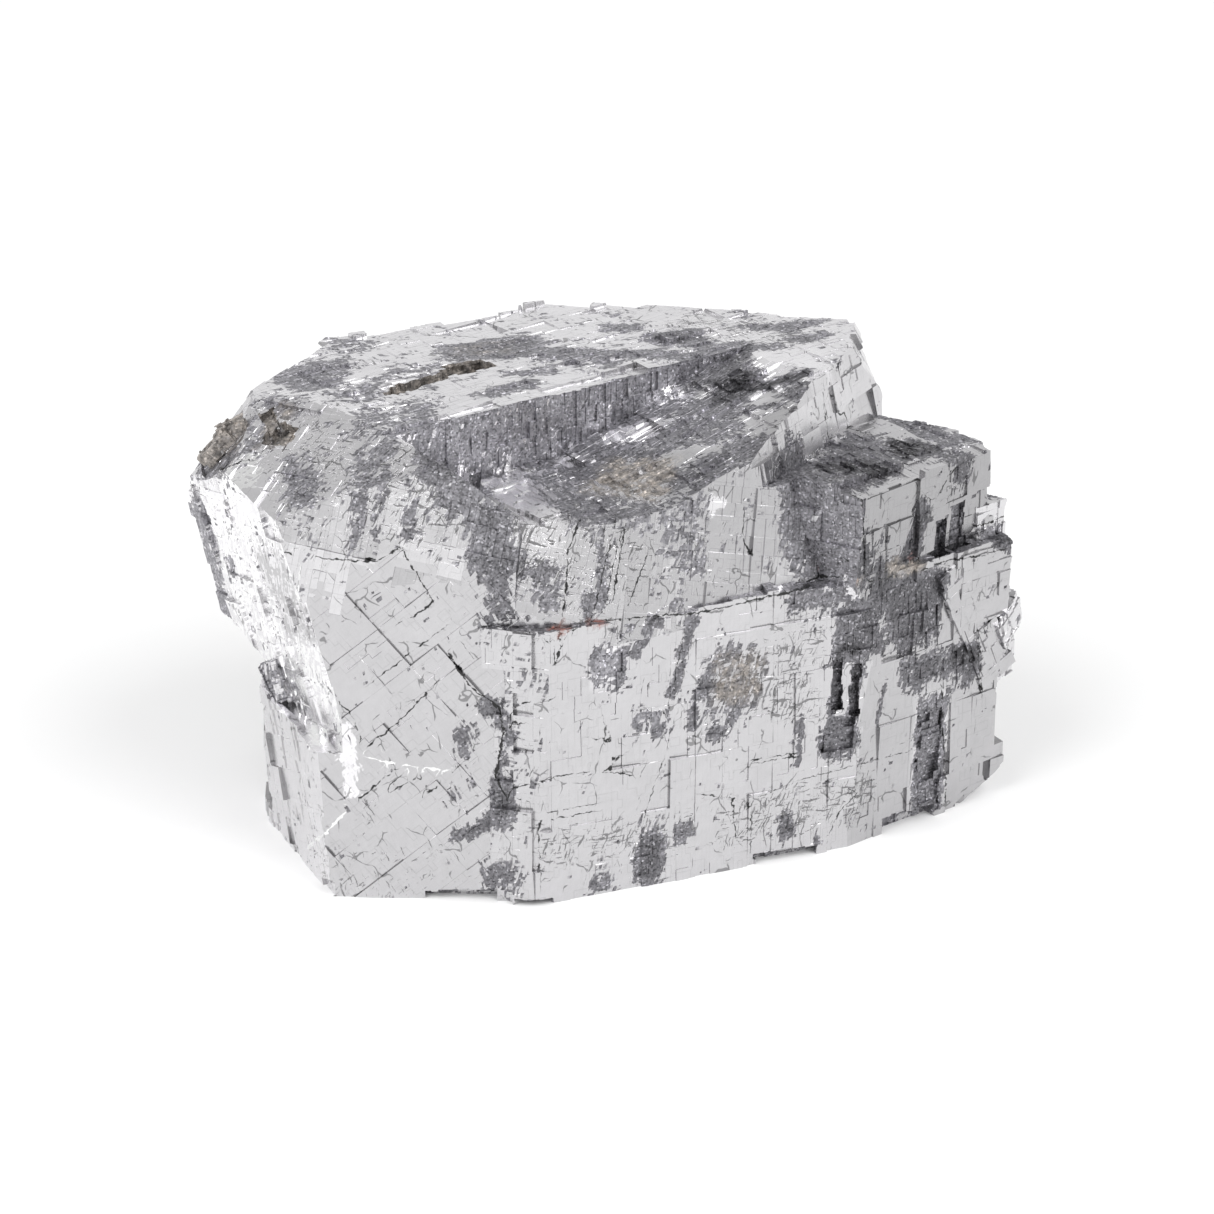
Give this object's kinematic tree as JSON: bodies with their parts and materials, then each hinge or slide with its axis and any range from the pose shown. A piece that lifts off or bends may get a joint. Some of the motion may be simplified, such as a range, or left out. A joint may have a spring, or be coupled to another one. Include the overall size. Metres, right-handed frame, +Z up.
{
  "type": "galena specimen",
  "caption": "Irregular natural cleavage block of galena: stepped metallic faces, a raised flat cap, a leaning tier above a crack and a lower buttress; rests on its flat base.",
  "frame": {"origin": "middle of the block's box, on the surface that it rests on", "axes": "+Z up; +X along the block's length, towards the buttress; -Y towards the front, with the crack and the leaning tier"},
  "size_m": [0.0832, 0.0526, 0.0443],
  "materials": {
    "galena": "bright lead-grey metallic cleavage faces between darker, granular stepped ground, with small brown and rust stains"
  },
  "bodies": {
    "root": {"galena_block": "galena"}
  },
  "joints": []
}
